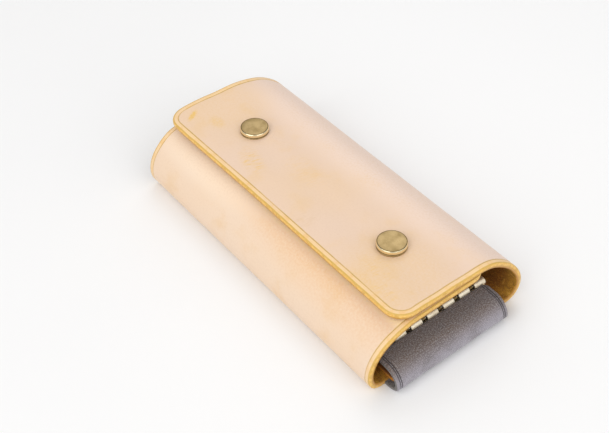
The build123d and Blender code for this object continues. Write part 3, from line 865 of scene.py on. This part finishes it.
antique_brass = metal("antique_brass", (0.475, 0.345, 0.165), (0.68, 0.54, 0.315),
                      (0.35, 0.245, 0.10), 0.27, 1.0)
flap_spot, flap_out = spine_run.place(np.array([snap_along]))
further_lean = radians(4.5)
flap_lean = -atan2(flap_out[0][0], flap_out[0][1]) - further_lean
# the cap's side band is set below 0 and turns pale: worn brass, partly a painted highlight
cap_outline = rounded([
    (0.0, -2.2), (1.4, -2.2), (1.4, -0.3), (4.7, -0.3, 0.6), (5.0, -0.05, 0.3), (5.02, 0.34),
    (4.86, 0.52, 1.0), (4.86, 0.64, 1.0), (5.04, 0.84, -0.6), (5.02, 1.25, -0.8),
    (4.94, 1.70, -1.0), (4.80, 1.94, -0.8), (4.72, 2.0, 0.8), (4.62, 1.97, 1.0), (4.52, 2.04, 0.2),
    (3.0, 2.08), (0.0, 2.1),
], 0.09)
socket_outline = rounded([
    (0.0, -2.25), (1.45, -2.25), (1.95, -2.30, 0.6), (1.95, -3.15), (2.25, -3.26),
    (3.35, -3.26), (3.95, -2.75), (3.98, -2.05), (0.0, -2.05),
], 0.14)
stud_outline = rounded([
    (0.0, -0.05), (3.2, -0.05), (3.2, 0.25), (2.9, 0.4), (1.55, 0.4, 0.8), (1.85, 1.1),
    (1.6, 1.7), (0.9, 1.7), (0.6, 1.45, 0.6), (0.0, 1.45, 0.6),
], 0.14)
back_outline = rounded([
    (0.0, -2.6), (0.7, -2.6), (0.9, -2.45), (3.2, -2.45, 0.5), (3.4, -2.6), (4.0, -2.6),
    (4.2, -2.4), (4.2, -2.0), (1.4, -2.0), (1.4, 0.0), (0.0, 0.0),
], 0.12)
for side, x in (("far", -snap_x), ("near", snap_x)):
    on_flap = (x, snap_y, float(flap_spot[0][1]))
    on_front = (x, snap_y, front_high.z)
    for part, outline, origin, lean, body_name in (
        ("cap", cap_outline, on_flap, flap_lean, "flap"),
        ("socket", socket_outline, on_flap, flap_lean, "flap"),
        ("stud", stud_outline, on_front, 0.0, "front"),
        ("back", back_outline, on_front, 0.0, "front"),
    ):
        piece = turned(f"brass_{part}_{side}", outline, origin, lean)
        piece.data.materials.append(antique_brass)
        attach(piece, body_name)
        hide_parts(f"snap_{part}_{side}")

# --- Key rail, wire and rivets ----------------------------------------------------------------
# A plated sheet rail with one long edge rolled round a steel wire and slotted for the hooks.
# Flush rivets hold its plate between the suede and the lining.

rail_plate = metal("pale_brass", (0.99, 0.90, 0.72), (0.99, 0.95, 0.84), (0.90, 0.77, 0.57), 0.46, 0.6)
steel = metal("steel_wire", (0.62, 0.61, 0.58), (0.78, 0.77, 0.74), (0.42, 0.40, 0.36), 0.20, 0.4)
sprung = metal("spring_steel", (0.48, 0.50, 0.54), (0.66, 0.67, 0.70), (0.30, 0.30, 0.33), 0.28, 0.8)


def refinish(node, finish):
    """Gives a carried-over node its finish."""
    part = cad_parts[node]
    part.data.materials.clear()
    part.data.materials.append(finish)


for node in ("key_rail", "rail_rivets", "rail_burrs", "tail_rivets", "tail_burrs"):
    refinish(node, rail_plate)
refinish("rail_wire", steel)

# --- Key hooks ------------------------------------------------------------------------------
# Six spring-gate hooks. Each hangs on the rail's wire by an eye and turns in a brass barrel.

# painted shade: the hook barrels are near-black brass so the rail's slots read dark, as in shade
barrel_shade_brass = metal("hook_barrels_painted_shade", (0.20, 0.14, 0.06), (0.40, 0.30, 0.14), (0.09, 0.06, 0.03), 0.34, 0.6)
for number in range(1, 7):
    refinish(f"hook_base_{number}", barrel_shade_brass)
    refinish(f"hook_{number}", rail_plate)
    refinish(f"hook_gate_{number}", sprung)
